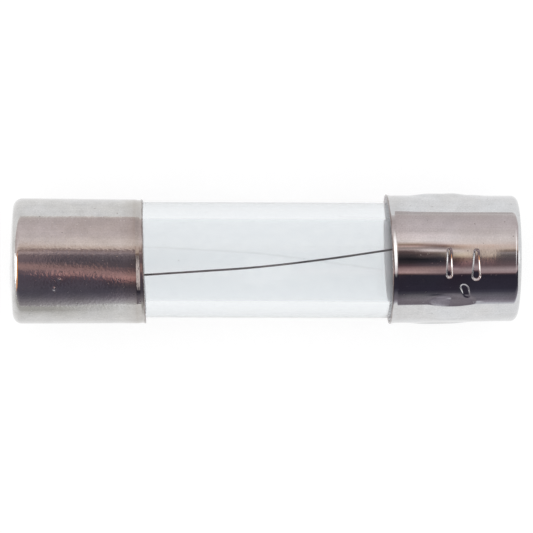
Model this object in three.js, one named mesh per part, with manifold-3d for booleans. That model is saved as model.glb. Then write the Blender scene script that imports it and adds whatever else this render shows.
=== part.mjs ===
// Miniature glass cartridge fuse, nominally 5 x 20 mm: a glass tube with a fine fusible wire in its
// bore, closed by two drawn metal end caps that are soldered to the wire's ends.
//
// Millimetres. +X runs along the fuse from the left cap to the right cap, +Z points up, and the
// origin is the middle of the tube's axis. The fuse lies on its side.

import * as THREE from 'three';
import { mergeVertices } from 'three/addons/utils/BufferGeometryUtils.js';
import Module from 'manifold-3d';

// Whole fuse
const FUSE_LENGTH = 20.35;
const HALF_LENGTH = FUSE_LENGTH / 2;
const FACETS = 48; // around every round piece, with one flat facing straight down
const FIT_GAP = 0.02; // between soldered or crimped neighbours

// Glass tube
const TUBE_RADIUS = 2.305;
const TUBE_BORE_RADIUS = 1.65;
const TUBE_HALF_LENGTH = 9.65;
const TUBE_EDGE = 0.12; // fire-polished rounding of the cut ends

// End caps, drawn from thin sheet
const CAP_RADIUS = 2.5;
const CAP_WALL = 0.08;
const CAP_BASE = 0.2;
const CAP_INNER_CORNER = 0.2;
const CAP_CROWN = 0.1; // how far the closed face's middle stands proud of its edge
const CROWN_FLAT_RADIUS = 0.6; // the middle of the closed face is flat
const CROWN_STEPS = 3;
const CAP_OFFSET = 0.07; // how far the wire's tail pushes each cap off the tube's axis
const LIP_LENGTH = 0.4;
const CORNER_STEPS = 5;

// side is -1 for the left end and +1 for the right. corner is the rounding between the closed face
// and the skirt. mouthRadius is the skirt's outside radius where the lip begins and lipRadius the
// same at the rim. The rim is slightly out of square: skewY and skewZ are how far it moves along X
// for each millimetre along Y and Z.
const LEFT_CAP = {
  side: -1,
  length: 5.38,
  corner: 0.4,
  mouthRadius: 2.478,
  lipRadius: 2.475,
  skewY: -0.031,
  skewZ: -0.009,
};
const RIGHT_CAP = {
  side: 1,
  length: 5.25,
  corner: 0.28,
  mouthRadius: 2.545,
  lipRadius: 2.6,
  skewY: -0.034,
  skewZ: 0,
};

// Solder in each cap: a disc against the base, and a low dome reaching into the tube's bore
const SOLDER_TUBE_GAP = 0.04;
const DOME_RADIUS = 1.52;
const DOME_HEIGHT = 0.5;
const DOME_STEPS = 6;

// Fusible wire
const WIRE_RADIUS = 0.042;
const WIRE_SIDES = 8;
const WIRE_STEPS_PER_KNOT = 3;
const WIRE_TUBE_GAP = 0.02;
const WIRE_TAIL_LENGTH = 1; // of each tail, folded back along the outside of the tube
const WIRE_SPAN = [
  // [x, y] through the bore, where the wire bows gently towards -Y
  [-9.0, -0.94],
  [-8.0, -0.82],
  [-6.4, -0.71],
  [-4.65, -0.6],
  [-2.1, -0.425],
  [-0.8, -0.33],
  [0.5, -0.2],
  [1.75, -0.045],
  [3.05, 0.13],
  [4.9, 0.415],
  [6.6, 0.69],
  [8.0, 0.9],
  [9.0, 1.05],
];
const WIRE_EXIT = [
  // [distance past the tube's end, distance from the axis] on the way out of the bore
  [-0.22, 1.2],
  [-0.02, 1.46],
  [0.06, 1.72],
];

// Points [x, radius] on an arc about [centreX, centreRadius], angles in degrees.
function arc(centreX, centreRadius, radius, from, to, steps) {
  const points = [];
  for (let i = 0; i <= steps; i++) {
    const angle = THREE.MathUtils.degToRad(from + ((to - from) * i) / steps);
    points.push([centreX + radius * Math.cos(angle), centreRadius + radius * Math.sin(angle)]);
  }
  return points;
}

// A solid of revolution about X from a profile of [x, radius] points. The flats of the faceted
// surface, not its corners, lie at the stated radius.
function revolve(profile) {
  const cornerScale = 1 / Math.cos(Math.PI / FACETS);
  const points = profile.map(([x, radius]) => new THREE.Vector2(radius * cornerScale, x));
  const geometry = new THREE.LatheGeometry(points, FACETS, Math.PI / FACETS);
  return geometry.rotateZ(-Math.PI / 2);
}

// Turns a profile measured from a cap's closed face into one measured along the fuse.
function alongFuse(profile, side) {
  const placed = profile.map(([depth, radius]) => [side * (HALF_LENGTH - depth), radius]);
  return side < 0 ? placed : placed.reverse();
}

function tubeGeometry() {
  const edgeX = TUBE_HALF_LENGTH - TUBE_EDGE;
  const outer = TUBE_RADIUS - TUBE_EDGE;
  const inner = TUBE_BORE_RADIUS + TUBE_EDGE;
  const steps = 3;
  const profile = [
    ...arc(-edgeX, outer, TUBE_EDGE, 180, 90, steps),
    ...arc(edgeX, outer, TUBE_EDGE, 90, 0, steps),
    ...arc(edgeX, inner, TUBE_EDGE, 0, -90, steps),
    ...arc(-edgeX, inner, TUBE_EDGE, -90, -180, steps),
  ];
  return revolve([...profile, profile[0]]);
}

// The crowned end of a cap or of its solder: flat in the middle, falling away to a rounded corner.
function crownedEnd(depth, radius, corner) {
  const crownRadius = radius - corner;
  const points = [[depth, 0]];
  for (let i = 0; i < CROWN_STEPS; i++) {
    const t = i / CROWN_STEPS;
    points.push([depth + CAP_CROWN * t * t, THREE.MathUtils.lerp(CROWN_FLAT_RADIUS, crownRadius, t)]);
  }
  return [...points, ...arc(depth + CAP_CROWN + corner, crownRadius, corner, 180, 90, CORNER_STEPS)];
}

function capProfile(cap) {
  const lipStart = cap.length - LIP_LENGTH;
  return [
    ...crownedEnd(0, CAP_RADIUS, cap.corner),
    [lipStart, cap.mouthRadius],
    [cap.length, cap.lipRadius],
    [cap.length, cap.lipRadius - CAP_WALL],
    [lipStart, cap.mouthRadius - CAP_WALL],
    ...crownedEnd(CAP_BASE, CAP_RADIUS - CAP_WALL, CAP_INNER_CORNER).reverse(),
  ];
}

// Slides the rim's vertices along X, so that the mouth is a little out of square.
function skewRim(geometry, cap) {
  const position = geometry.attributes.position;
  const rimZone = HALF_LENGTH - cap.length + LIP_LENGTH / 2;
  for (let i = 0; i < position.count; i++) {
    if (Math.abs(position.getX(i)) < rimZone) {
      const shift = cap.skewY * position.getY(i) + cap.skewZ * position.getZ(i);
      position.setX(i, position.getX(i) + shift);
    }
  }
  return geometry;
}

function capGeometry(cap) {
  return skewRim(revolve(alongFuse(capProfile(cap), cap.side)), cap);
}

// A smooth curve whose sections follow its knots, so that they crowd together where the knots do.
class KnotSpacedCurve extends THREE.CatmullRomCurve3 {
  getUtoTmapping(u) {
    return u;
  }
}

// One tail of the wire, from the bore round the tube's end and back along the tube's outside.
function tailPoints(side) {
  const standOff = WIRE_TUBE_GAP + WIRE_RADIUS;
  const edgeX = TUBE_HALF_LENGTH - TUBE_EDGE;
  const edgeY = TUBE_RADIUS - TUBE_EDGE;
  const outside = TUBE_RADIUS + standOff;
  const points = [
    ...WIRE_EXIT.map(([past, y]) => [TUBE_HALF_LENGTH + past, y]),
    ...arc(edgeX, edgeY, TUBE_EDGE + standOff, 0, 90, 3),
    [TUBE_HALF_LENGTH - WIRE_TAIL_LENGTH / 2, outside],
    [TUBE_HALF_LENGTH - WIRE_TAIL_LENGTH, outside],
  ];
  return points.map(([x, y]) => [side * x, side * y]);
}

function wireCurve() {
  const course = [...tailPoints(-1).reverse(), ...WIRE_SPAN, ...tailPoints(1)];
  return new KnotSpacedCurve(course.map(([x, y]) => new THREE.Vector3(x, y, 0)));
}

function roundSection(radius) {
  const corners = [];
  for (let i = 0; i < WIRE_SIDES; i++) {
    const angle = (2 * Math.PI * i) / WIRE_SIDES;
    corners.push(new THREE.Vector2(radius * Math.cos(angle), radius * Math.sin(angle)));
  }
  return new THREE.Shape(corners);
}

function wireGeometry(radius) {
  const curve = wireCurve();
  const steps = (curve.points.length - 1) * WIRE_STEPS_PER_KNOT;
  return new THREE.ExtrudeGeometry(roundSection(radius), { steps, extrudePath: curve });
}

function solderProfile() {
  const start = CAP_BASE + FIT_GAP;
  const radius = CAP_RADIUS - CAP_WALL - FIT_GAP;
  const discFace = HALF_LENGTH - TUBE_HALF_LENGTH - SOLDER_TUBE_GAP;
  const dome = arc(0, 0, 1, 0, 90, DOME_STEPS).map(([across, up]) => [
    discFace + DOME_HEIGHT * up,
    DOME_RADIUS * across,
  ]);
  return [...crownedEnd(start, radius, CAP_INNER_CORNER - FIT_GAP), [discFace, radius], ...dome];
}

const wasm = await Module();
wasm.setup();

function toSolid(geometry) {
  const bare = geometry.clone();
  bare.deleteAttribute('normal');
  bare.deleteAttribute('uv');
  const merged = mergeVertices(bare, 1e-5);
  const mesh = new wasm.Mesh({
    numProp: 3,
    vertProperties: new Float32Array(merged.attributes.position.array),
    triVerts: new Uint32Array(merged.index.array),
  });
  mesh.merge();
  return new wasm.Manifold(mesh);
}

function toGeometry(solid) {
  const mesh = solid.getMesh();
  const geometry = new THREE.BufferGeometry();
  geometry.setAttribute('position', new THREE.BufferAttribute(mesh.vertProperties, 3));
  geometry.setIndex(new THREE.BufferAttribute(mesh.triVerts, 1));
  geometry.computeVertexNormals();
  return geometry;
}

// The solder keeps a channel for the wire that it holds.
function solderGeometry(cap) {
  const blank = revolve(alongFuse(solderProfile(), cap.side)).translate(0, cap.side * CAP_OFFSET, 0);
  return toGeometry(toSolid(blank).subtract(toSolid(wireGeometry(WIRE_RADIUS + FIT_GAP))));
}

const glass = new THREE.MeshStandardMaterial({ color: 0xdfe6ea, roughness: 0.05, metalness: 0 });
const satinNickel = new THREE.MeshStandardMaterial({ color: 0xc6c1b8, roughness: 0.3, metalness: 1 });
const brightNickel = new THREE.MeshStandardMaterial({ color: 0xcfcac2, roughness: 0.18, metalness: 1 });
const wireMetal = new THREE.MeshStandardMaterial({ color: 0x66615f, roughness: 0.35, metalness: 1 });
const leadFreeSolder = new THREE.MeshStandardMaterial({ color: 0x9d9d9b, roughness: 0.45, metalness: 1 });

const fuse = new THREE.Group();

function addPiece(name, geometry, material) {
  const mesh = new THREE.Mesh(geometry, material);
  mesh.name = name;
  fuse.add(mesh);
  return mesh;
}

addPiece('glass_tube', tubeGeometry(), glass);
addPiece('fuse_wire', wireGeometry(WIRE_RADIUS), wireMetal);
addPiece('left_end_cap', capGeometry(LEFT_CAP), satinNickel).position.y = -CAP_OFFSET;
addPiece('right_end_cap', capGeometry(RIGHT_CAP), brightNickel).position.y = CAP_OFFSET;
addPiece('left_solder', solderGeometry(LEFT_CAP), leadFreeSolder);
addPiece('right_solder', solderGeometry(RIGHT_CAP), leadFreeSolder.clone());

export default fuse;
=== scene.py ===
import math

import bmesh
import bpy
from mathutils import Matrix, Vector, noise


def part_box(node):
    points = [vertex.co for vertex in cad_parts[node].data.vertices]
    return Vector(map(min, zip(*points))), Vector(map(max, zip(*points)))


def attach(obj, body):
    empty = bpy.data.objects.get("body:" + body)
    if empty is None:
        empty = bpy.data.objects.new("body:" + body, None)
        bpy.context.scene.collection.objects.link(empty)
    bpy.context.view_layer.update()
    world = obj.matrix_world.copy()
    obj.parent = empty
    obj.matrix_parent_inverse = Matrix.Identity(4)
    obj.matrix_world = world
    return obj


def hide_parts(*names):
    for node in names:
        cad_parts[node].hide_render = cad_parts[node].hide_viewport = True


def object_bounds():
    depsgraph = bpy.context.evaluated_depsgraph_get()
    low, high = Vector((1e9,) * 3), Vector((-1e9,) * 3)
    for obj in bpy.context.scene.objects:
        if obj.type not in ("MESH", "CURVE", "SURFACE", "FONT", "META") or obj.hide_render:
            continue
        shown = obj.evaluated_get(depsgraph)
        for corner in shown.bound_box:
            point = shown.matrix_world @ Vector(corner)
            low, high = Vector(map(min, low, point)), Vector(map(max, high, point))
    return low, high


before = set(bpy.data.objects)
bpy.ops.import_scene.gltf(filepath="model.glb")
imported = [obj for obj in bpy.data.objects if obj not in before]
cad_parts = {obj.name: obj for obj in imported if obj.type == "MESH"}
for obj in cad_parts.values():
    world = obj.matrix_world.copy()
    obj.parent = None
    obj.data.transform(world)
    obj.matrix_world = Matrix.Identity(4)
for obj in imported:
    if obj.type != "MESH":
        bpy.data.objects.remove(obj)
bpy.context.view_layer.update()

# A 5 x 20 mm glass cartridge fuse, lying on a white table in a small studio. Lengths are in metres.
# +X runs along the fuse, +Z up, and a point on a round piece is given by its place along X, its
# radius, and its turn: the angle from straight up (+Z) towards -Y.
MM = 0.001

LEFT_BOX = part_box("left_end_cap")
TUBE_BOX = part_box("glass_tube")


def smoothstep(low, high, value):
    t = min(max((value - low) / (high - low), 0), 1)
    return t * t * (3 - 2 * t)


def eased(low, high, value):
    """From 0 to 1, straight through the middle and slightly rounded off at both ends."""
    t = min(max((value - low) / (high - low), 0), 1)
    return 0.85 * t + 0.15 * t * t * (3 - 2 * t)


def spread(start, end, count):
    """count values from start to end, both included."""
    return [start + (end - start) * i / (count - 1) for i in range(count)]


def stepped(start, end, step):
    """Values about a step apart from start to end, without the end."""
    count = max(1, round(abs(end - start) / step))
    return [start + (end - start) * i / count for i in range(count)]


# ---------------------------------------------------------------------------------------- Meshes


def mesh_object(name, verts, faces, material):
    """A smooth-shaded object from vertices and faces, with its normals turned outward."""
    mesh = bpy.data.meshes.new(name)
    mesh.from_pydata(verts, [], faces)
    bm = bmesh.new()
    bm.from_mesh(mesh)
    bmesh.ops.recalc_face_normals(bm, faces=bm.faces)
    for face in bm.faces:
        face.smooth = True
    bm.to_mesh(mesh)
    bm.free()
    mesh.materials.append(material)
    made = bpy.data.objects.new(name, mesh)
    bpy.context.scene.collection.objects.link(made)
    return made


def skin(name, rings, material, closed=False):
    """Joins rings of points into a surface. A ring of one point is a pole; a closed skin joins its
    last ring to its first."""
    verts, starts, faces = [], [], []
    for ring in rings:
        starts.append(len(verts))
        verts += ring
    pairs = list(zip(range(len(rings)), range(1, len(rings))))
    if closed:
        pairs.append((len(rings) - 1, 0))
    for near, far in pairs:
        count = max(len(rings[near]), len(rings[far]))
        for i in range(count):
            j = (i + 1) % count
            corners = [starts[near] + i, starts[near] + j, starts[far] + j, starts[far] + i]
            if len(rings[near]) == 1:
                corners = [starts[near], starts[far] + j, starts[far] + i]
            elif len(rings[far]) == 1:
                corners = [starts[near] + i, starts[near] + j, starts[far]]
            faces.append(corners)
    return mesh_object(name, verts, faces, material)


def turned(x, radius, turn, centre_y=0.0):
    return (x, centre_y - radius * math.sin(turn), radius * math.cos(turn))


# --------------------------------------------------------------------------------------- Shading


def node(tree, kind, inputs=None, **settings):
    """Adds a node; each input is a value, or a socket to link."""
    made = tree.nodes.new(kind)
    for key, value in settings.items():
        setattr(made, key, value)
    for socket, value in (inputs or {}).items():
        if isinstance(value, bpy.types.NodeSocket):
            tree.links.new(value, made.inputs[socket])
        else:
            made.inputs[socket].default_value = value
    return made


def blank_material(name):
    material = bpy.data.materials.new(name)
    material.use_nodes = True
    material.node_tree.nodes.clear()
    return material, material.node_tree


def output(tree, shader):
    node(tree, "ShaderNodeOutputMaterial", {"Surface": shader.outputs[0]})


def place_in_mm(tree, stretch=(1, 1, 1)):
    """The point on the piece, in millimetres, with each axis multiplied by stretch."""
    here = node(tree, "ShaderNodeTexCoord").outputs["Object"]
    scale = [1000 * s for s in stretch]
    return node(tree, "ShaderNodeMapping", {"Vector": here, "Scale": scale}).outputs[0]


def fractal(tree, per_mm, detail=3.0, stretch=(1, 1, 1), roughness=0.55):
    """Noise from 0 to 1 with per_mm features to the millimetre."""
    vector = place_in_mm(tree, stretch)
    inputs = {"Vector": vector, "Scale": per_mm, "Detail": detail, "Roughness": roughness}
    return node(tree, "ShaderNodeTexNoise", inputs).outputs[0]


def specks(tree, per_mm, size, share):
    """A mask of round specks: size is their share of a cell, and only that share of cells has one."""
    cells = node(
        tree, "ShaderNodeTexVoronoi", {"Vector": place_in_mm(tree), "Scale": per_mm}
    )
    dots = remap(tree, cells.outputs["Distance"], size, size * 0.4)
    chosen = node(tree, "ShaderNodeSeparateColor", {0: cells.outputs["Color"]}).outputs[0]
    kept = node(tree, "ShaderNodeMath", {0: chosen, 1: share}, operation="LESS_THAN")
    return times(tree, dots, kept.outputs[0])


def remap(tree, value, low, high, to_low=0.0, to_high=1.0, clamp=True):
    inputs = {"Value": value, 1: low, 2: high, 3: to_low, 4: to_high}
    return node(tree, "ShaderNodeMapRange", inputs, clamp=clamp).outputs[0]


def times(tree, a, b):
    return node(tree, "ShaderNodeMath", {0: a, 1: b}, operation="MULTIPLY").outputs[0]


def plus(tree, a, b):
    return node(tree, "ShaderNodeMath", {0: a, 1: b}, operation="ADD").outputs[0]


def weighted(tree, parts):
    """The sum of (socket, weight) pairs."""
    total = times(tree, *parts[0])
    for socket, weight in parts[1:]:
        total = plus(tree, total, times(tree, socket, weight))
    return total


def blend(tree, factor, a, b):
    made = node(tree, "ShaderNodeMix", {0: factor}, data_type="RGBA")
    for index, value in ((6, a), (7, b)):
        if isinstance(value, bpy.types.NodeSocket):
            tree.links.new(value, made.inputs[index])
        else:
            made.inputs[index].default_value = (*value, 1)
    return made.outputs[2]


def band(tree, value, middle, half_width):
    """1 where the value is at the middle, falling to 0 at half_width to either side."""
    away = node(tree, "ShaderNodeMath", {0: value, 1: middle}, operation="SUBTRACT").outputs[0]
    away = node(tree, "ShaderNodeMath", {0: away}, operation="ABSOLUTE").outputs[0]
    return remap(tree, away, half_width, 0.0)


def darkened(tree, colour, level):
    """The colour multiplied by a level from a socket."""
    grey = node(tree, "ShaderNodeCombineColor", {0: level, 1: level, 2: level}).outputs[0]
    made = node(tree, "ShaderNodeMix", {0: 1.0}, data_type="RGBA", blend_type="MULTIPLY")
    tree.links.new(colour, made.inputs[6])
    tree.links.new(grey, made.inputs[7])
    return made.outputs[2]


def bumped(tree, height, micrometres):
    """A normal from a height socket, where 1 stands for that many micrometres."""
    inputs = {"Height": height, "Strength": 1.0, "Distance": micrometres * 1e-6}
    return node(tree, "ShaderNodeBump", inputs).outputs[0]


def nickel_plate(name, cap, plate, warm, rough, grain, drawn, stain, soil):
    """Nickel over brass, for one cap. rough is the plate's roughness, grain and drawn the heights in
    micrometres of its pitted grain and of its drawing lines, stain how blotched it is, and soil how
    much dirt sits about the lip. The closed face has faint turning marks. The bore is left uncoated and
    dull, with painted light near the mouth fading to painted shade deeper in. The cut rim is darkened,
    partly tarnish and partly painted shade where the cap meets the tube."""
    material, tree = blank_material(name)
    mottle = fractal(tree, 0.8, 4.0)
    blotch = fractal(tree, 2.2, 3.0)
    fine = fractal(tree, 9.0, 1.0)
    grit = fractal(tree, 17.0, 2.0)
    lines = fractal(tree, 1.0, 4.0, stretch=(0.25, 12, 12))
    rings = fractal(tree, 1.0, 3.0, stretch=(14, 0.5, 0.5))
    pits = specks(tree, 3.2, 0.11, 0.35)
    dust = specks(tree, 1.7, 0.05, 0.3)
    bloom = specks(tree, 6.0, 0.22, 0.4)

    axes = node(tree, "ShaderNodeSeparateXYZ", {0: place_in_mm(tree)})
    along = times(tree, axes.outputs[0], cap.side)
    across = plus(tree, axes.outputs[1], -cap.centre_y / MM)
    upward = axes.outputs[2]
    squares = plus(tree, times(tree, across, across), times(tree, upward, upward))
    radius = node(tree, "ShaderNodeMath", {0: squares, 1: 0.5}, operation="POWER").outputs[0]
    normal = node(tree, "ShaderNodeNewGeometry").outputs["Normal"]
    outward = node(tree, "ShaderNodeCombineXYZ", {1: across, 2: upward}).outputs[0]
    facing = node(tree, "ShaderNodeVectorMath", {0: normal, 1: outward}, operation="DOT_PRODUCT")
    inside = remap(tree, facing.outputs["Value"], -0.8, -1.6)
    face = remap(tree, along, FACE_X - 0.2, FACE_X - 0.1)
    marks = {"W": radius, "Scale": 9.0, "Detail": 3.0}
    marks = node(tree, "ShaderNodeTexNoise", marks, noise_dimensions="1D")
    turned_marks = times(tree, marks.outputs[0], face)
    bowed = times(tree, times(tree, across, across), cap.bow * MM / cap.radius**2)
    from_rim = weighted(
        tree,
        [
            (along, 1.0),
            (across, -cap.side * cap.skew[0]),
            (upward, -cap.side * cap.skew[1]),
            (bowed, 1.0),
        ],
    )
    from_rim = plus(tree, from_rim, (cap.length - abs(cap.closed_x)) / MM)
    seam = times(tree, band(tree, from_rim, 0.33, 0.1), 0.3)
    foot = plus(tree, seam, band(tree, from_rim, 0.2, 0.7))
    ragged = plus(tree, from_rim, remap(tree, blotch, 0.3, 0.7, -0.02, 0.02))
    rim = remap(tree, ragged, 0.06, 0.03)
    deep = remap(tree, from_rim, 0.05, 0.4)

    colour = blend(tree, remap(tree, mottle, 0.35, 0.7), plate, warm)
    shade = weighted(tree, [(grit, 0.34), (blotch, stain), (lines, 0.16)])
    usual = 0.25 + stain * 0.5
    colour = darkened(tree, colour, remap(tree, shade, usual - 0.13, usual + 0.13, 0.86, 1.12))
    colour = blend(tree, times(tree, pits, 0.6), colour, (0.12, 0.1, 0.09))
    colour = blend(tree, times(tree, dust, 0.8), colour, (0.8, 0.8, 0.8))
    colour = blend(tree, times(tree, bloom, 0.25), colour, (0.8, 0.8, 0.8))
    colour = blend(tree, times(tree, foot, soil), colour, (0.3, 0.25, 0.2))
    # Painted shade and tarnish: the cut rim, where the cap meets the tube, is darkened.
    colour = blend(tree, times(tree, rim, 0.75), colour, (0.2, 0.16, 0.15))
    # Inside the cap: painted light near the mouth fading to painted shade deeper in the bore.
    bore_with_painted_light_and_shade = blend(tree, deep, (0.97, 0.97, 0.98), (0.6, 0.58, 0.59))
    colour = blend(tree, inside, colour, bore_with_painted_light_and_shade)

    roughness = plus(
        tree,
        rough,
        weighted(
            tree,
            [
                (remap(tree, mottle, 0.3, 0.7, -1, 1), rough * 0.25),
                (remap(tree, lines, 0.4, 0.7), rough * 0.25),
                (pits, 0.35),
                (dust, 0.5),
                (bloom, rough * 5),
                (inside, 0.5),
                (rim, 0.15),
            ],
        ),
    )
    heights = weighted(
        tree,
        [
            (fine, grain),
            (lines, drawn),
            (rings, drawn * 0.3),
            (turned_marks, 2.2),
            (pits, -grain * 1.5),
            (dust, 1.5),
        ],
    )
    shader = node(
        tree,
        "ShaderNodeBsdfPrincipled",
        {
            "Base Color": colour,
            "Metallic": 1.0,
            "Roughness": roughness,
            "Normal": bumped(tree, heights, 1.0),
        },
    )
    output(tree, shader)
    return material


def clear_glass():
    """Clear soda-lime tube with a cool cast, faint drawing waves and a few specks."""
    material, tree = blank_material("clear_glass")
    motes = specks(tree, 1.1, 0.035, 0.4)
    haze = remap(tree, fractal(tree, 2.6, 4.0), 0.3, 0.7)
    colour = blend(tree, haze, (0.917, 0.938, 0.952), (0.947, 0.964, 0.973))
    colour = blend(tree, motes, colour, (0.45, 0.45, 0.45))
    waves = fractal(tree, 0.9, 2.0, stretch=(0.15, 1, 1))
    shader = node(
        tree,
        "ShaderNodeBsdfPrincipled",
        {
            "Base Color": colour,
            "Roughness": 0.015,
            "IOR": 1.5,
            "Transmission Weight": 1.0,
            "Normal": bumped(tree, waves, 2.0),
        },
    )
    depth = node(
        tree, "ShaderNodeVolumeAbsorption", {"Color": (0.5, 0.55, 0.58, 1), "Density": 105.0}
    )
    node(
        tree,
        "ShaderNodeOutputMaterial",
        {"Surface": shader.outputs[0], "Volume": depth.outputs[0]},
    )
    return material


def wire_metal():
    """Drawn fuse wire, dulled, with a few bright nicks."""
    material, tree = blank_material("wire_metal")
    tone = fractal(tree, 1.6, 3.0)
    nicks = specks(tree, 2.4, 0.2, 0.25)
    scale = fractal(tree, 30.0, 2.0)
    colour = blend(tree, remap(tree, tone, 0.35, 0.65), (0.06, 0.055, 0.06), (0.12, 0.105, 0.11))
    colour = blend(tree, nicks, colour, (0.85, 0.83, 0.8))
    shader = node(
        tree,
        "ShaderNodeBsdfPrincipled",
        {
            "Base Color": colour,
            "Metallic": 1.0,
            "Roughness": remap(tree, scale, 0.3, 0.7, 0.3, 0.45),
            "Normal": bumped(tree, scale, 0.8),
        },
    )
    output(tree, shader)
    return material


def solder_metal():
    """Dull grey tin solder with a frosty, slightly crystalline skin."""
    material, tree = blank_material("solder")
    frost = fractal(tree, 9.0, 5.0)
    blotch = fractal(tree, 1.5, 3.0)
    colour = blend(tree, remap(tree, blotch, 0.35, 0.65), (0.62, 0.62, 0.61), (0.75, 0.74, 0.72))
    shader = node(
        tree,
        "ShaderNodeBsdfPrincipled",
        {
            "Base Color": colour,
            "Metallic": 0.8,
            "Roughness": remap(tree, frost, 0.3, 0.7, 0.4, 0.6),
            "Normal": bumped(tree, weighted(tree, [(frost, 5.0), (blotch, 10.0)]), 1.0),
        },
    )
    output(tree, shader)
    return material


# -------------------------------------------------------------------------------------- End caps

FACE_X = LEFT_BOX[0].x / -MM
WALL = 0.08 * MM
BASE = 0.2 * MM
INNER_CORNER = 0.2 * MM
CROWN = 0.1 * MM
CROWN_FLAT = 0.6 * MM
CAP_RADIUS = (LEFT_BOX[1].z - LEFT_BOX[0].z) / 2
# Spacing of the mesh: degrees round the cap, and metres along it.
COARSE_TURN = 2.5
COARSE_STEP = 0.1 * MM
LIP_STEP = 0.015 * MM
# Width of a stamped mark's sloping wall.
STAMP_EDGE = 0.072 * MM


def oval_dent(x, turn, half_x, half_arc, rise, flat=0.3):
    """A shallow oval pressed out by rise (in, where it is negative). flat is how much of it is level."""
    turn = math.radians(turn)

    def height(at_x, at_turn):
        arc = math.remainder(at_turn - turn, 2 * math.pi) * CAP_RADIUS
        distance = math.hypot((at_x - x) / half_x, arc / half_arc)
        return rise * (1 - smoothstep(flat, 1, distance))

    return height


def stroke_stamp(x, turn, half_length, half_widths, depths, lean=0.0):
    """A stamped stroke across the fuse with round ends. Its half widths and depths are given for its
    upper (+Y) and lower (-Y) end, and it moves lean along X for its way down."""
    turn = math.radians(turn)
    straight = half_length - max(half_widths)

    def height(at_x, at_turn):
        arc = math.remainder(at_turn - turn, 2 * math.pi) * CAP_RADIUS
        across = at_x - x - lean * arc
        if abs(arc) > half_length + STAMP_EDGE or abs(across) > half_length:
            return 0.0
        along = min(max(arc, -straight), straight)
        lower = (along + straight) / (2 * straight)
        width = half_widths[0] + (half_widths[1] - half_widths[0]) * lower
        depth = depths[0] + (depths[1] - depths[0]) * lower
        outside = math.hypot(across, arc - along) - width
        return depth * (smoothstep(-STAMP_EDGE, 0, outside) - 1)

    return height


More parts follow.
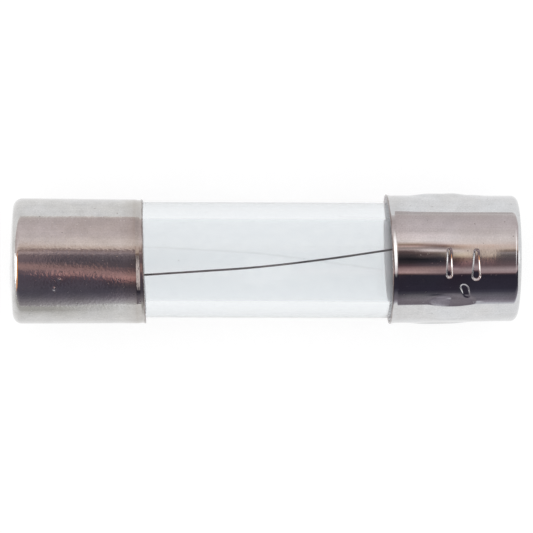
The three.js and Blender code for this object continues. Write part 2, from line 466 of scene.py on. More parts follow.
class Cap:
    """The measures of one end cap. The mouth's radius, lip and skew differ from end to end. The lip
    is given as where it begins and where it is fully up, from the rim, how far it rises, and how far
    it curls back in. fine_depths and fine_turns hold (start, step) pairs for the mesh."""

    def __init__(self, node_name, side, length, corner, mouth, lip, skew_y, skew_z):
        low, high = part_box(node_name)
        self.node_name = node_name
        self.side = side
        self.centre_y = (low.y + high.y) / 2
        self.closed_x = high.x if side > 0 else low.x
        self.length = length
        self.corner = corner
        self.radius = CAP_RADIUS
        self.mouth = mouth
        self.lip_from, self.lip_top, self.lip_rise, self.lip_fall = lip
        self.skew = (skew_y, skew_z)
        self.wave = 0.0
        self.reliefs = []
        self.lean = 0.0
        self.face_level = 0.0
        self.blob = None
        self.bow = 0.0
        self.fine_depths = []
        self.fine_turns = []

    def skirt_radius(self, depth):
        start = CROWN + self.corner
        widening = (self.mouth - self.radius) * smoothstep(start, self.length, depth)
        rim = self.length - depth
        lip = self.lip_rise * eased(self.lip_from, self.lip_top, rim)
        curl = self.lip_fall * smoothstep(self.lip_top, WALL / 2, rim)
        return self.radius + widening + lip - curl

    def skirt_depths(self):
        """Depths along the skirt, close together where the surface has fine relief."""
        marks = [(CROWN + self.corner, COARSE_STEP), *self.fine_depths]
        marks += [(self.length - self.lip_from - 0.05 * MM, LIP_STEP), (self.length - WALL / 2, None)]
        depths = []
        for (start, step), (end, _) in zip(marks, marks[1:]):
            depths += stepped(start, end, step)
        return depths

    def turns(self):
        """Turns round the cap, in the same way, beginning where the first fine stretch does."""
        marks = [(math.radians(start), math.radians(step)) for start, step in self.fine_turns]
        marks.append((marks[0][0] + 2 * math.pi, None))
        turns = []
        for (start, step), (end, _) in zip(marks, marks[1:]):
            turns += stepped(start, end, step)
        return turns

    def profile(self):
        """(depth, radius, outside) from the middle of the closed face, round the rim, to the middle
        of the inner base; outside is 1 on the outer skin and 0 on the inner one."""
        outer = crowned_end(0, self.radius, self.corner, 16)
        outer += [(d, self.skirt_radius(d)) for d in self.skirt_depths()]
        rim_depth = self.length - WALL / 2
        rim_radius = self.skirt_radius(self.length) - WALL / 2
        rim = []
        for angle in spread(0, math.pi, 9):
            rim.append(
                (rim_depth + WALL / 2 * math.sin(angle), rim_radius + WALL / 2 * math.cos(angle))
            )
        inner_start = BASE + CROWN + INNER_CORNER
        inner = [(d, self.skirt_radius(d) - WALL) for d in spread(inner_start, rim_depth, 40)[1:-1]]
        base = crowned_end(BASE, self.radius - WALL, INNER_CORNER, 8)
        points = [(d, r, 1) for d, r in outer + rim[:4]]
        points += [(d, r, 0) for d, r in rim[4:] + inner[::-1] + base[::-1]]
        return points

    def point(self, depth, radius, outside, turn):
        x = self.closed_x - self.side * depth
        if outside:
            _, y, z = turned(0, radius, turn)
            x -= self.side * self.face_height(y, z) * (1 - smoothstep(0, CROWN + self.corner, depth))
        if radius == 0:
            return (x, self.centre_y, 0.0)
        near_skirt = smoothstep(0, CROWN + self.corner * 2, depth)
        seed = Vector((x / MM * 0.45, math.sin(turn) * 1.3, math.cos(turn) * 1.3))
        radius += self.wave * noise.noise(seed) * near_skirt
        if outside:
            radius += sum(relief(x, turn) for relief in self.reliefs) * near_skirt
        centre_y = self.centre_y + self.lean * (x - self.closed_x + self.side * self.length / 2)
        place = turned(x, radius, turn, centre_y)
        bite = smoothstep(self.length * 0.4, self.length, depth)
        aside = place[1] - self.centre_y
        bowed = self.side * self.bow * (aside / self.radius) ** 2
        shift = self.skew[0] * aside + self.skew[1] * place[2] - bowed
        return (x + shift * bite, place[1], place[2])

    def face_height(self, y, z):
        """How far the closed face lies inside its furthest point."""
        if not self.blob:
            return self.face_level
        blob_y, reach_y, reach_z = self.blob
        return self.face_level * smoothstep(0.2, 1, math.hypot((y - blob_y) / reach_y, z / reach_z))

    def build(self, name, material):
        turns = self.turns()
        rings = []
        for depth, radius, outside in self.profile():
            if radius == 0:
                rings.append([self.point(depth, radius, outside, 0)])
            else:
                rings.append([self.point(depth, radius, outside, turn) for turn in turns])
        return skin(name, rings, material)


def crowned_end(depth, radius, corner, steps):
    """(depth, radius) from the axis over a gently crowned face and a rounded corner."""
    face = radius - corner
    points = [(depth, r) for r in stepped(0, CROWN_FLAT, 0.1 * MM)]
    for t in spread(0, 1, steps)[:-1]:
        points.append((depth + CROWN * t * t, CROWN_FLAT + (face - CROWN_FLAT) * t))
    for angle in spread(0, math.pi / 2, steps)[:-1]:
        points.append(
            (depth + CROWN + corner * (1 - math.cos(angle)), face + corner * math.sin(angle))
        )
    return points


def left_cap():
    """Drawn duller and left plain, with a low blob on its closed face, one soft swelling on its
    front near the mouth and two raised flecks."""
    lip = (0.31 * MM, 0.15 * MM, -0.022 * MM, -0.022 * MM)
    cap = Cap("left_end_cap", -1, 5.34 * MM, 0.4 * MM, 2.475 * MM, lip, -0.031, -0.016)
    cap.bow = 0.03 * MM
    cap.wave = 0.004 * MM
    cap.face_level = 0.03 * MM
    cap.blob = (-0.5 * MM, 1.0 * MM, 1.7 * MM)
    cap.fine_depths = [(1.55 * MM, 0.025 * MM), (2.2 * MM, COARSE_STEP)]
    cap.fine_turns = [(12, 0.5), (30, COARSE_TURN)]
    cap.reliefs = [
        oval_dent(-5.6 * MM, 28, 2.6 * MM, 1.2 * MM, 0.035 * MM, 0.1),
        oval_dent(-8.19 * MM, 17, 0.08 * MM, 0.07 * MM, 0.02 * MM, 0),
        oval_dent(-8.39 * MM, 26, 0.09 * MM, 0.12 * MM, 0.032 * MM, 0),
    ]
    return cap


def right_cap():
    """Drawn brighter. Two plain stamped strokes and a round pip mark its front, and crimping has left
    shallow swellings and dents round it."""
    lip = (0.21 * MM, 0.045 * MM, 0.041 * MM, 0)
    cap = Cap("right_end_cap", 1, 5.25 * MM, 0.28 * MM, 2.55 * MM, lip, -0.034, 0.008)
    cap.radius = CAP_RADIUS + 0.016 * MM
    cap.centre_y += 0.01 * MM
    cap.lean = 0.0105
    cap.wave = 0.005 * MM
    cap.bow = 0.045 * MM
    cap.fine_depths = [
        (1.5 * MM, 0.0125 * MM),
        (3.25 * MM, 0.05 * MM),
        (4.1 * MM, COARSE_STEP),
    ]
    cap.fine_turns = [(-13, 0.5), (39, 0.8), (76, COARSE_TURN)]
    deep, shallow = 0.064 * MM, 0.022 * MM
    cap.reliefs = [
        stroke_stamp(7.19 * MM, 3.7, 0.62 * MM, (0.11 * MM, 0.14 * MM), (shallow, deep)),
        stroke_stamp(8.26 * MM, 5, 0.67 * MM, (0.12 * MM, 0.19 * MM), (shallow, deep)),
        stroke_stamp(7.86 * MM, 31, 0.34 * MM, (0.19 * MM, 0.16 * MM), (deep, shallow), 0.3),
        oval_dent(6.75 * MM, 35.5, 0.6 * MM, 0.1 * MM, 0.004 * MM, 0),
        oval_dent(7.35 * MM, 41.5, 1.1 * MM, 0.4 * MM, -0.02 * MM, 0),
        oval_dent(7.3 * MM, 39.5, 0.3 * MM, 0.1 * MM, -0.003 * MM, 0),
        oval_dent(8.3 * MM, 41, 0.4 * MM, 0.12 * MM, 0.005 * MM, 0),
        oval_dent(7.27 * MM, 62, 1.1 * MM, 0.52 * MM, -0.018 * MM, 0.76),
        oval_dent(6.97 * MM, -88, 1.18 * MM, 0.8 * MM, 0.08 * MM),
        oval_dent(8.0 * MM, -88, 0.9 * MM, 0.7 * MM, 0.03 * MM),
        oval_dent(6.95 * MM, 95, 1.6 * MM, 0.5 * MM, 0.07 * MM, 0.35),
        oval_dent(7.1 * MM, 150, 1.0 * MM, 0.8 * MM, 0.05 * MM),
        oval_dent(6.7 * MM, -145, 1.0 * MM, 0.8 * MM, 0.05 * MM),
    ]
    return cap


# ------------------------------------------------------------------------------- Tube, wire, solder

TUBE_RADIUS = (TUBE_BOX[1].z - TUBE_BOX[0].z) / 2
TUBE_BORE = 1.65 * MM
TUBE_EDGE = 0.12 * MM
WIRE_RADIUS = 0.042 * MM


def tube_mesh(material):
    """The glass tube, open at both ends, with fire-polished edges and slightly uneven walls."""
    low, high = TUBE_BOX[0].x, TUBE_BOX[1].x
    corners = [
        (low + TUBE_EDGE, TUBE_RADIUS - TUBE_EDGE, math.pi),
        (high - TUBE_EDGE, TUBE_RADIUS - TUBE_EDGE, math.pi / 2),
        (high - TUBE_EDGE, TUBE_BORE + TUBE_EDGE, 0),
        (low + TUBE_EDGE, TUBE_BORE + TUBE_EDGE, -math.pi / 2),
    ]
    profile = []
    for x, radius, start in corners:
        for angle in spread(start, start - math.pi / 2, 9):
            profile.append((x + TUBE_EDGE * math.cos(angle), radius + TUBE_EDGE * math.sin(angle)))
        if start in (math.pi, 0):
            end = high - TUBE_EDGE if start else low + TUBE_EDGE
            profile += [(along, profile[-1][1]) for along in spread(x, end, 40)[1:-1]]
    turns = stepped(0, 2 * math.pi, math.radians(1.5))
    rings = []
    for x, radius in profile:
        ring = []
        for turn in turns:
            seed = Vector((x / MM * 0.12, math.sin(turn) * 0.9, math.cos(turn) * 0.9))
            uneven = noise.noise(seed + Vector((0, 0, radius / MM))) * 0.004 * MM
            ring.append(turned(x, radius + uneven, turn))
        rings.append(ring)
    return skin("glass_tube_drawn", rings, material, closed=True)


WIRE_SPAN = [
    (-9.0, -0.94),
    (-8.0, -0.82),
    (-6.4, -0.71),
    (-4.65, -0.6),
    (-2.1, -0.425),
    (-0.8, -0.33),
    (0.5, -0.2),
    (1.75, -0.045),
    (3.05, 0.13),
    (4.9, 0.415),
    (6.6, 0.69),
    (8.0, 0.9),
    (9.0, 1.05),
]
WIRE_TAIL = [(9.43, 1.2), (9.63, 1.46), (9.71, 1.72), (9.71, 2.185), (9.65, 2.32), (9.53, 2.367)]
WIRE_TAIL += [(9.15, 2.367), (8.65, 2.367)]


def catmull_rom(points, steps):
    """A smooth line through the points, with that many steps to a span."""
    ends = [points[0] * 2 - points[1], *points, points[-1] * 2 - points[-2]]
    line = []
    for a, b, c, d in zip(ends, ends[1:], ends[2:], ends[3:]):
        for i in range(steps):
            t = i / steps
            line.append(
                0.5 * (2 * b + (c - a) * t + (2 * a - 5 * b + 4 * c - d) * t * t)
                + 0.5 * (3 * b - a - 3 * c + d) * t**3
            )
    return [*line, points[-1]]


def wire_mesh(material):
    """The fusible wire from tail to tail: over both ends of the tube and across its bore."""
    left_tail = [(-x, -y) for x, y in reversed(WIRE_TAIL)]
    route = [Vector((x, y, 0)) * MM for x, y in left_tail + WIRE_SPAN + WIRE_TAIL]
    line = catmull_rom(route, 10)
    rings = []
    for i, at in enumerate(line):
        along = (line[min(i + 1, len(line) - 1)] - line[max(i - 1, 0)]).normalized()
        side = Vector((0, 0, 1)).cross(along)
        ring = []
        for angle in stepped(0, 2 * math.pi, math.radians(18)):
            outward = side * math.cos(angle) + Vector((0, 0, 1)) * math.sin(angle)
            drawn = WIRE_RADIUS * (1 + 0.08 * noise.noise(at / MM * 3 + outward))
            ring.append(tuple(at + outward * drawn))
        rings.append(ring)
    return skin("fuse_wire_drawn", [[tuple(line[0])], *rings, [tuple(line[-1])]], material)


def solder_mesh(name, node_name, side, material):
    """A puddle of solder on the cap's base with a low, lumpy dome into the tube's bore."""
    low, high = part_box(node_name)
    centre_y = (low.y + high.y) / 2
    start = high.x if side > 0 else low.x
    gap = 0.02 * MM
    radius = CAP_RADIUS - WALL - gap
    disc = 0.265 * MM
    dome_radius, dome_height = 1.52 * MM, 0.5 * MM
    profile = crowned_end(0, radius, INNER_CORNER - gap, 8) + [(disc, radius)]
    profile += [(disc, dome_radius + (radius - dome_radius) * t) for t in (0.75, 0.5, 0.25)]
    for angle in spread(0, math.pi / 2, 20):
        profile.append((disc + dome_height * math.sin(angle), dome_radius * math.cos(angle)))
    rings = []
    for depth, r in profile:
        if r < 1e-9:
            rings.append([(start - side * depth, centre_y, 0)])
            continue
        ring = []
        for turn in stepped(0, 2 * math.pi, math.radians(3)):
            x, y, z = turned(start - side * depth, r, turn, centre_y)
            lump = noise.noise(Vector((side * 3, y / MM, z / MM))) * 0.08 * MM
            lump *= smoothstep(disc, disc + dome_height, depth)
            ring.append((x - side * lump, y, z))
        rings.append(ring)
    return skin(name, rings, material)


# ------------------------------------------------------------------------------------------ Pieces


def add_piece(piece, node_name):
    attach(piece, "root")
    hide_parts(node_name)


left = left_cap()
right = right_cap()
satin = nickel_plate(
    "satin_nickel_plate",
    left,
    plate=(0.575, 0.57, 0.57),
    warm=(0.56, 0.55, 0.535),
    rough=0.05,
    grain=2.4,
    drawn=0.7,
    stain=0.34,
    soil=0.34,
)
bright = nickel_plate(
    "bright_nickel_plate",
    right,
    plate=(0.61, 0.617, 0.63),
    warm=(0.6, 0.595, 0.595),
    rough=0.032,
    grain=0.12,
    drawn=0.2,
    stain=0.24,
    soil=0.12,
)
solder = solder_metal()

tube = tube_mesh(clear_glass())
tube.visible_shadow = False
add_piece(tube, "glass_tube")
add_piece(wire_mesh(wire_metal()), "fuse_wire")
add_piece(left.build("left_end_cap_drawn", satin), "left_end_cap")
add_piece(right.build("right_end_cap_drawn", bright), "right_end_cap")
add_piece(solder_mesh("left_solder_puddle", "left_solder", -1, solder), "left_solder")
add_piece(solder_mesh("right_solder_puddle", "right_solder", 1, solder), "right_solder")


# ------------------------------------------------------------------------------------------ Studio

FLOOR_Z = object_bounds()[0].z
TENT_RADIUS = 100 * MM
TENT_LEFT, TENT_RIGHT = -160 * MM, 150 * MM
TENT_TURN = 91.0  # degrees from straight up to either lower edge

# The room over the fuse as its caps mirror it, from the back wall over the ceiling to the front
# wall: (angle from straight up towards -Y, colour). It changes along the fuse, so each list is
# for one place along X, in millimetres.
ROOM = {
    -10.2: [
        (-91, (1.0, 1.0, 0.97)),
        (-86, (0.78, 0.7, 0.68)),
        (-78, (0.73, 0.64, 0.64)),
        (-60, (0.79, 0.69, 0.69)),
        (-46, (0.85, 0.75, 0.75)),
        (-38, (0.95, 0.84, 0.83)),
        (-30, (0.89, 0.75, 0.71)),
        (-25, (0.74, 0.59, 0.53)),
        (-21, (0.52, 0.4, 0.37)),
        (-19, (0.34, 0.24, 0.22)),
        (-16, (0.6, 0.46, 0.45)),
        (-13.5, (0.48, 0.37, 0.37)),
        (-10.5, (0.27, 0.2, 0.21)),
        (1, (0.23, 0.17, 0.19)),
        (8, (0.44, 0.28, 0.27)),
        (13, (0.42, 0.27, 0.26)),
        (19, (0.2, 0.14, 0.16)),
        (27, (0.13, 0.105, 0.135)),
        (60, (0.11, 0.1, 0.13)),
        (68, (0.15, 0.14, 0.17)),
        (78, (0.25, 0.23, 0.26)),
        (91, (0.45, 0.42, 0.44)),
    ],
    -5.8: [
        (-90.5, (1.0, 0.95, 0.92)),
        (-88, (0.76, 0.67, 0.65)),
        (-83, (0.71, 0.61, 0.6)),
        (-60, (0.76, 0.65, 0.63)),
        (-50, (0.79, 0.68, 0.67)),
        (-42, (0.89, 0.77, 0.74)),
        (-30, (1.0, 0.88, 0.83)),
        (-26, (0.9, 0.75, 0.68)),
        (-23.5, (0.76, 0.62, 0.56)),
        (-20.5, (0.29, 0.21, 0.2)),
        (-18.5, (0.32, 0.24, 0.25)),
        (-15.5, (0.38, 0.3, 0.32)),
        (-10, (0.15, 0.12, 0.14)),
        (-2, (0.09, 0.08, 0.1)),
        (6, (0.13, 0.1, 0.11)),
        (11, (0.28, 0.17, 0.17)),
        (15, (0.5, 0.3, 0.29)),
        (23, (0.65, 0.36, 0.34)),
        (27, (0.28, 0.15, 0.16)),
        (32, (0.09, 0.06, 0.08)),
        (46, (0.07, 0.06, 0.08)),
        (58, (0.11, 0.1, 0.13)),
        (70, (0.2, 0.17, 0.21)),
        (78, (0.34, 0.31, 0.35)),
        (86, (0.55, 0.53, 0.56)),
        (91, (0.8, 0.8, 0.8)),
    ],
    -4.7: [
        (-90.5, (1.0, 0.95, 0.92)),
        (-88, (0.76, 0.67, 0.65)),
        (-83, (0.71, 0.61, 0.6)),
        (-60, (0.76, 0.65, 0.63)),
        (-50, (0.79, 0.68, 0.67)),
        (-42, (0.9, 0.78, 0.75)),
        (-30, (1.02, 0.89, 0.84)),
        (-25, (0.9, 0.74, 0.68)),
        (-22.5, (0.76, 0.62, 0.57)),
        (-19.5, (0.42, 0.32, 0.31)),
        (-15.5, (0.42, 0.34, 0.36)),
        (-10, (0.24, 0.2, 0.22)),
        (-2, (0.17, 0.14, 0.16)),
        (6, (0.15, 0.12, 0.14)),
        (13, (0.26, 0.17, 0.18)),
        (19, (0.48, 0.29, 0.28)),
        (26, (0.68, 0.38, 0.36)),
        (31, (0.44, 0.24, 0.24)),
        (37, (0.17, 0.12, 0.13)),
        (46, (0.12, 0.1, 0.12)),
        (58, (0.15, 0.13, 0.16)),
        (70, (0.27, 0.24, 0.28)),
        (78, (0.45, 0.41, 0.45)),
        (86, (0.62, 0.6, 0.62)),
        (91, (0.8, 0.8, 0.8)),
    ],
    13.4: [
        (-91, (0.86, 0.82, 0.8)),
        (-88, (0.76, 0.7, 0.68)),
        (-84, (0.67, 0.59, 0.58)),
        (-76, (0.71, 0.63, 0.63)),
        (-62, (0.79, 0.7, 0.71)),
        (-50, (0.8, 0.71, 0.71)),
        (-43, (1.02, 0.9, 0.9)),
        (-30.7, (1.08, 0.97, 0.94)),
        (-28, (0.68, 0.53, 0.45)),
        (-25.7, (0.34, 0.21, 0.16)),
        (-22, (0.76, 0.55, 0.5)),
        (-19.2, (0.42, 0.35, 0.33)),
        (-17, (0.62, 0.49, 0.47)),
        (-13.7, (0.15, 0.1, 0.1)),
        (-6, (0.06, 0.05, 0.055)),
        (0, (0.015, 0.015, 0.02)),
        (7, (0.05, 0.04, 0.045)),
        (12, (0.13, 0.08, 0.09)),
        (17, (0.43, 0.28, 0.28)),
        (24, (0.66, 0.45, 0.44)),
        (27, (0.1, 0.06, 0.06)),
        (29, (0.035, 0.03, 0.045)),
        (58, (0.04, 0.035, 0.055)),
        (64, (0.075, 0.07, 0.095)),
        (72, (0.17, 0.155, 0.18)),
        (78, (0.24, 0.21, 0.25)),
        (88, (0.25, 0.22, 0.25)),
        (91, (0.55, 0.53, 0.57)),
    ],
    14.2: [
        (-91, (0.87, 0.83, 0.81)),
        (-88, (0.76, 0.7, 0.68)),
        (-84, (0.67, 0.59, 0.58)),
        (-76, (0.7, 0.62, 0.62)),
        (-62, (0.78, 0.69, 0.7)),
        (-50, (0.8, 0.71, 0.7)),
        (-43, (1.0, 0.88, 0.88)),
        (-32.5, (1.06, 0.96, 0.94)),
        (-29, (0.85, 0.7, 0.66)),
        (-26, (0.42, 0.29, 0.25)),
        (-22.5, (0.38, 0.28, 0.26)),
        (-19, (0.5, 0.4, 0.38)),
        (-15.3, (1.1, 0.97, 0.95)),
        (-11.8, (0.3, 0.22, 0.2)),
        (-8.5, (0.12, 0.08, 0.08)),
        (-5, (0.13, 0.1, 0.1)),
        (0, (0.02, 0.02, 0.025)),
        (5, (0.04, 0.035, 0.045)),
        (11.5, (0.12, 0.085, 0.1)),
        (17.3, (0.42, 0.28, 0.27)),
        (24.3, (0.55, 0.38, 0.37)),
        (27.3, (0.11, 0.07, 0.075)),
        (29.3, (0.036, 0.032, 0.047)),
        (58.3, (0.04, 0.035, 0.055)),
        (64, (0.08, 0.075, 0.095)),
        (69, (0.18, 0.17, 0.19)),
        (78, (0.28, 0.25, 0.28)),
        (88, (0.23, 0.2, 0.23)),
        (91, (0.5, 0.48, 0.52)),
    ],
    15.9: [
        (-91, (0.87, 0.83, 0.81)),
        (-88, (0.76, 0.7, 0.68)),
        (-84, (0.67, 0.59, 0.58)),
        (-76, (0.7, 0.62, 0.62)),
        (-62, (0.77, 0.68, 0.69)),
        (-50, (0.8, 0.71, 0.7)),
        (-43, (0.98, 0.87, 0.86)),
        (-32.5, (1.05, 0.95, 0.93)),
        (-28.5, (1.0, 0.85, 0.82)),
        (-25, (0.5, 0.34, 0.3)),
        (-22, (0.24, 0.15, 0.13)),
        (-18.5, (0.44, 0.36, 0.36)),
        (-14.5, (0.95, 0.83, 0.81)),
        (-11, (0.3, 0.23, 0.2)),
        (-6.7, (0.18, 0.15, 0.14)),
        (-3.5, (0.07, 0.06, 0.07)),
        (3.7, (0.035, 0.035, 0.045)),
        (11, (0.12, 0.09, 0.105)),
        (17.7, (0.4, 0.27, 0.26)),
        (24.7, (0.43, 0.3, 0.3)),
        (27.7, (0.12, 0.08, 0.09)),
        (29.7, (0.036, 0.033, 0.048)),
        (58.7, (0.04, 0.035, 0.055)),
        (64, (0.08, 0.075, 0.095)),
        (69, (0.19, 0.18, 0.2)),
        (78, (0.3, 0.27, 0.3)),
        (88, (0.22, 0.19, 0.22)),
        (91, (0.5, 0.48, 0.52)),
    ],
    17.45: [
        (-91, (0.88, 0.85, 0.83)),
        (-87, (0.77, 0.71, 0.7)),
        (-82, (0.68, 0.6, 0.59)),
        (-76, (0.68, 0.6, 0.6)),
        (-60, (0.76, 0.67, 0.67)),
        (-48, (0.79, 0.7, 0.68)),
        (-40, (0.92, 0.82, 0.8)),
        (-28.5, (0.97, 0.84, 0.79)),
        (-25.1, (0.97, 0.75, 0.64)),
        (-21.4, (0.72, 0.51, 0.41)),
        (-17.5, (0.66, 0.52, 0.44)),
        (-14, (0.92, 0.77, 0.7)),
        (-10.3, (1.0, 0.85, 0.72)),
        (-6.7, (0.93, 0.75, 0.58)),
        (-3.5, (0.5, 0.36, 0.27)),
        (-0.5, (0.17, 0.1, 0.085)),
        (4, (0.12, 0.07, 0.068)),
        (11, (0.13, 0.08, 0.09)),
        (14.7, (0.25, 0.16, 0.18)),
        (18, (0.53, 0.38, 0.4)),
        (21.7, (0.4, 0.27, 0.28)),
        (26.2, (0.3, 0.21, 0.22)),
        (28.2, (0.08, 0.05, 0.07)),
        (30.7, (0.034, 0.026, 0.04)),
        (57.7, (0.04, 0.033, 0.05)),
        (63, (0.075, 0.065, 0.085)),
        (69, (0.2, 0.18, 0.21)),
        (78, (0.28, 0.25, 0.28)),
        (88, (0.2, 0.17, 0.2)),
        (91, (0.5, 0.48, 0.52)),
    ],
    18.05: [
        (-91, (0.89, 0.86, 0.85)),
        (-87, (0.78, 0.72, 0.71)),
        (-82, (0.68, 0.61, 0.6)),
        (-76, (0.67, 0.59, 0.59)),
        (-60, (0.74, 0.65, 0.65)),
        (-48, (0.78, 0.69, 0.67)),
        (-40, (0.91, 0.81, 0.78)),
        (-32.5, (0.94, 0.84, 0.8)),
        (-23.5, (0.98, 0.8, 0.72)),
        (-17.5, (0.89, 0.71, 0.62)),
        (-10.5, (0.8, 0.63, 0.51)),
        (-6.7, (0.97, 0.77, 0.65)),
        (-3.5, (0.82, 0.62, 0.5)),
        (0, (0.5, 0.31, 0.25)),
        (7, (0.46, 0.25, 0.24)),
        (11, (0.31, 0.17, 0.17)),
        (14.7, (0.28, 0.17, 0.17)),
        (20.7, (0.5, 0.37, 0.365)),
        (25.4, (0.39, 0.28, 0.285)),
        (27.7, (0.06, 0.035, 0.045)),
        (30.7, (0.032, 0.022, 0.034)),
        (56.7, (0.04, 0.035, 0.05)),
        (62, (0.065, 0.06, 0.08)),
        (69, (0.18, 0.17, 0.195)),
        (80, (0.23, 0.2, 0.235)),
        (85, (0.33, 0.3, 0.34)),
        (91, (0.75, 0.74, 0.78)),
    ],
    18.4: [
        (-91, (0.9, 0.87, 0.86)),
        (-87, (0.78, 0.72, 0.71)),
        (-82, (0.68, 0.61, 0.6)),
        (-76, (0.66, 0.58, 0.58)),
        (-60, (0.73, 0.64, 0.64)),
        (-48, (0.77, 0.68, 0.66)),
        (-40, (0.9, 0.8, 0.77)),
        (-33, (0.93, 0.83, 0.79)),
        (-24, (0.86, 0.69, 0.63)),
        (-20, (0.81, 0.67, 0.59)),
        (-17.5, (0.74, 0.58, 0.5)),
        (-15, (0.35, 0.26, 0.22)),
        (-13.5, (0.3, 0.22, 0.19)),
        (-10.5, (0.37, 0.31, 0.31)),
        (-6.5, (0.18, 0.15, 0.15)),
        (2, (0.13, 0.1, 0.11)),
        (12, (0.19, 0.13, 0.14)),
        (20, (0.52, 0.4, 0.41)),
        (25, (0.45, 0.32, 0.33)),
        (27.5, (0.1, 0.06, 0.07)),
        (30, (0.035, 0.03, 0.045)),
        (56, (0.045, 0.04, 0.06)),
        (62, (0.07, 0.065, 0.09)),
        (69, (0.17, 0.16, 0.19)),
        (80, (0.26, 0.23, 0.27)),
        (85, (0.4, 0.37, 0.42)),
        (91, (0.85, 0.85, 0.9)),
    ],
}


def grid_sheet(name, place, across, along, material):
    """A sheet of quads: place(u, v) gives each point."""
    verts = [tuple(place(u, v)) for u in across for v in along]
    width = len(along)
    faces = []
    for i in range(len(across) - 1):
        for j in range(width - 1):
            corner = i * width + j
            faces.append([corner, corner + 1, corner + width + 1, corner + width])
    return mesh_object(name, verts, faces, material)


def reflected_only(card):
    """The camera, the lamps and the floor don't see this card: only mirrors do."""
    for kind in ("camera", "diffuse", "transmission", "volume_scatter", "shadow"):
        setattr(card, "visible_" + kind, False)


def turn_in_degrees(tree, axes):
    forward = times(tree, axes.outputs["Y"], -1.0)
    made = node(tree, "ShaderNodeMath", {0: forward, 1: axes.outputs["Z"]}, operation="ARCTAN2")
    return times(tree, made.outputs[0], math.degrees(1))


def room_ramp(tree, share, bands):
    """The bands of one place along the tent, over a share from its back edge to its front edge."""
    ramp = node(tree, "ShaderNodeValToRGB", {0: share})
    stops = ramp.color_ramp.elements
    stops.remove(stops[0])
    for index, (degrees, tint) in enumerate(bands):
        place = (degrees + TENT_TURN) / (2 * TENT_TURN)
        stop = stops[0] if index == 0 else stops.new(place)
        stop.position = place
        stop.color = (*tint, 1)
    return ramp.outputs[0]


def tent_material():
    material, tree = blank_material("room_bands")
    axes = node(tree, "ShaderNodeSeparateXYZ", {0: place_in_mm(tree)})
    share = remap(tree, turn_in_degrees(tree, axes), -TENT_TURN, TENT_TURN)
    places = sorted(ROOM)
    ramps = [room_ramp(tree, share, ROOM[x]) for x in places]
    colour = ramps[0]
    for near, far, ramp in zip(places, places[1:], ramps[1:]):
        colour = blend(tree, remap(tree, axes.outputs["X"], near, far), colour, ramp)
    output(tree, node(tree, "ShaderNodeEmission", {"Color": colour, "Strength": 1.0}))
    return material


def tent():
    """A half cylinder over the fuse that carries the room's bands."""

    def place(x, turn):
        return turned(x, TENT_RADIUS, turn)

    turns = spread(math.radians(-TENT_TURN), math.radians(TENT_TURN), 121)
    x_steps = spread(TENT_LEFT, TENT_RIGHT, 17)
    reflected_only(grid_sheet("room_tent", place, x_steps, turns, tent_material()))


def fading_glow(name, colour, fade):
    """A material that glows in a colour where fade(tree, axes) is 1 and is clear where it is 0."""
    material, tree = blank_material(name)
    axes = node(tree, "ShaderNodeSeparateXYZ", {0: place_in_mm(tree)})
    glow = node(tree, "ShaderNodeEmission", {"Color": (*colour, 1), "Strength": 1.0})
    clear = node(tree, "ShaderNodeBsdfTransparent")
    parts = {0: fade(tree, axes), 1: clear.outputs[0], 2: glow.outputs[0]}
    output(tree, node(tree, "ShaderNodeMixShader", parts))
    return material


def soft_card(name, radius, x, reach, turn, spread_turn, colour, core=0.45, taper=0.0):
    """A glowing oval on a cylinder about the fuse, fading to nothing at its edge: centred on x and
    turn, and reaching reach along X and spread_turn degrees round. Within core it is even. A taper
    makes it narrower towards the front."""

    def fade(tree, axes):
        across = remap(tree, axes.outputs["X"], x / MM, (x + reach) / MM, clamp=False)
        around = remap(tree, turn_in_degrees(tree, axes), turn, turn + spread_turn, clamp=False)
        across = times(tree, across, plus(tree, times(tree, around, taper), 1.0))
        squares = plus(tree, times(tree, across, across), times(tree, around, around))
        far = node(tree, "ShaderNodeMath", {0: squares, 1: 0.5}, operation="POWER").outputs[0]
        return remap(tree, far, 1.0, core)

    def place(u, v):
        return turned(u, radius, math.radians(v))

    across_steps = spread(x - reach, x + reach, 9)
    around_steps = spread(turn - spread_turn, turn + spread_turn, 33)
    material = fading_glow(name, colour, fade)
    reflected_only(grid_sheet(name, place, across_steps, around_steps, material))


def table_shade():
    """Painted shade on the table's far front corner, as the left cap's foot mirrors it."""

    def fade(tree, axes):
        across = remap(tree, axes.outputs["Y"], -4.0, -19.0)
        return times(tree, across, remap(tree, axes.outputs["X"], -4.5, -8.5))

    def place(x, y):
        return (x, y, FLOOR_Z + 0.02 * MM)

    material = fading_glow("table_shade", (0.56, 0.55, 0.53), fade)
    x_steps, y_steps = spread(-60 * MM, -4 * MM, 9), spread(-110 * MM, -4 * MM, 9)
    reflected_only(grid_sheet("table_shade", place, x_steps, y_steps, material))


def flat_glow(name, colour, strength):
    material, tree = blank_material(name)
    output(tree, node(tree, "ShaderNodeEmission", {"Color": (*colour, 1), "Strength": strength}))
    return material


def pane(name, x, y_from, y_to, z_from, z_to, colour, strength):
    """A glowing upright pane beyond one end of the tent."""

    def place(y, z):
        return (x, y, z)

    panes = spread(y_from, y_to, 3), spread(z_from, z_to, 3)
    reflected_only(grid_sheet(name, place, *panes, flat_glow(name, colour, strength)))


def back_board():
    """A low grey board standing on the table behind the right cap, slanting away to the right."""
    top = 3 * MM

    def place(x, z):
        return (x, 5 * MM + 4.6 * x, z)

    panes = spread(4 * MM, 24 * MM, 3), spread(FLOOR_Z, top, 3)
    material = flat_glow("back_board", (0.68, 0.62, 0.61), 1.0)
    reflected_only(grid_sheet("back_board", place, *panes, material))


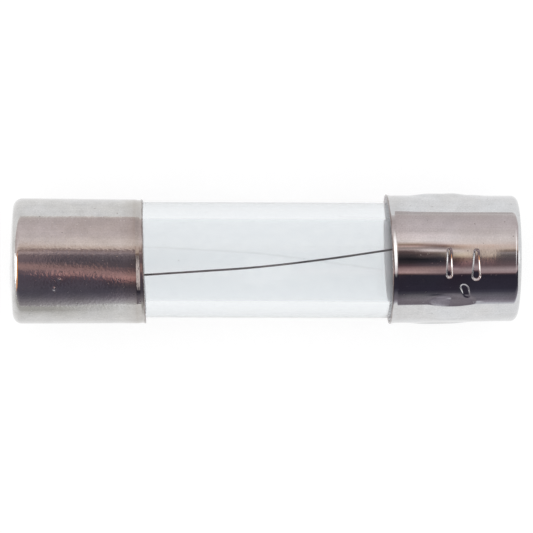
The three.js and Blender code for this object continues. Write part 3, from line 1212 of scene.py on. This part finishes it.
def floor():
    """A white table top, far larger than the view, that glows a little, as a lit sweep does."""
    material, tree = blank_material("white_table")
    tone = fractal(tree, 0.02, 2.0)
    colour = blend(tree, remap(tree, tone, 0.3, 0.7), (0.24, 0.24, 0.245), (0.26, 0.26, 0.26))
    shader = node(
        tree,
        "ShaderNodeBsdfPrincipled",
        {
            "Base Color": colour,
            "Roughness": 0.9,
            "Specular IOR Level": 0.0,
            "Emission Color": (1, 1, 1, 1),
            "Emission Strength": 0.8,
        },
    )
    output(tree, shader)

    def place(x, y):
        return (x, y, FLOOR_Z)

    reach = spread(-2, 2, 9)
    grid_sheet("table_top", place, reach, reach, material)


def sky():
    """Even white light from all round."""
    world = bpy.data.worlds.new("studio")
    world.use_nodes = True
    background = world.node_tree.nodes["Background"]
    background.inputs["Color"].default_value = (1, 1, 1, 1)
    background.inputs["Strength"].default_value = 1.0
    bpy.context.scene.world = world


def camera():
    """Looks straight down from 180 mm, a little to the left of the fuse's middle."""
    height = 180 * MM
    width_seen = 21.28 * MM
    lens_at = Vector((-6.5 * MM, -0.256 * MM, height))
    aim = Vector((0.064 * MM, -0.256 * MM, 0))
    roll = math.radians(-0.2)
    data = bpy.data.cameras.new("camera")
    data.sensor_width = 36
    data.lens = data.sensor_width * (lens_at - aim).length / width_seen
    data.clip_start = 0.01
    data.clip_end = 10
    made = bpy.data.objects.new("camera", data)
    bpy.context.scene.collection.objects.link(made)
    gaze = (aim - lens_at).normalized()
    right = gaze.cross(Vector((math.sin(roll), math.cos(roll), 0))).normalized()
    up = right.cross(gaze)
    made.location = lens_at
    made.rotation_mode = "QUATERNION"
    made.rotation_quaternion = Matrix((right, up, -gaze)).transposed().to_quaternion()
    bpy.context.scene.camera = made


tent()
soft_card("lip_highlight", 22.5 * MM, 18 * MM, 1.9 * MM, -12, 46, (2.2, 2.15, 2.15), 0.3, 0.8)
soft_card("left_lip_glow", 22.5 * MM, 0.6 * MM, 1.6 * MM, 21, 34, (1.0, 0.9, 0.9), 0.5)
soft_card("warm_fringe", 97 * MM, -140 * MM, 48 * MM, 28, 58, (1.1, 0.5, 0.2), 0.7)
pane("left_window", -200 * MM, -82 * MM, 22 * MM, -2 * MM, 112 * MM, (1, 1, 1), 3.0)
pane("left_wall", -200 * MM, 22 * MM, 260 * MM, -2 * MM, 112 * MM, (0.76, 0.66, 0.65), 1.0)
pane("right_window", 200 * MM, -20 * MM, 30 * MM, 30 * MM, 108 * MM, (1, 1, 1), 1.5)
table_shade()
back_board()
floor()
sky()
camera()
bpy.context.scene.view_settings.view_transform = "Standard"
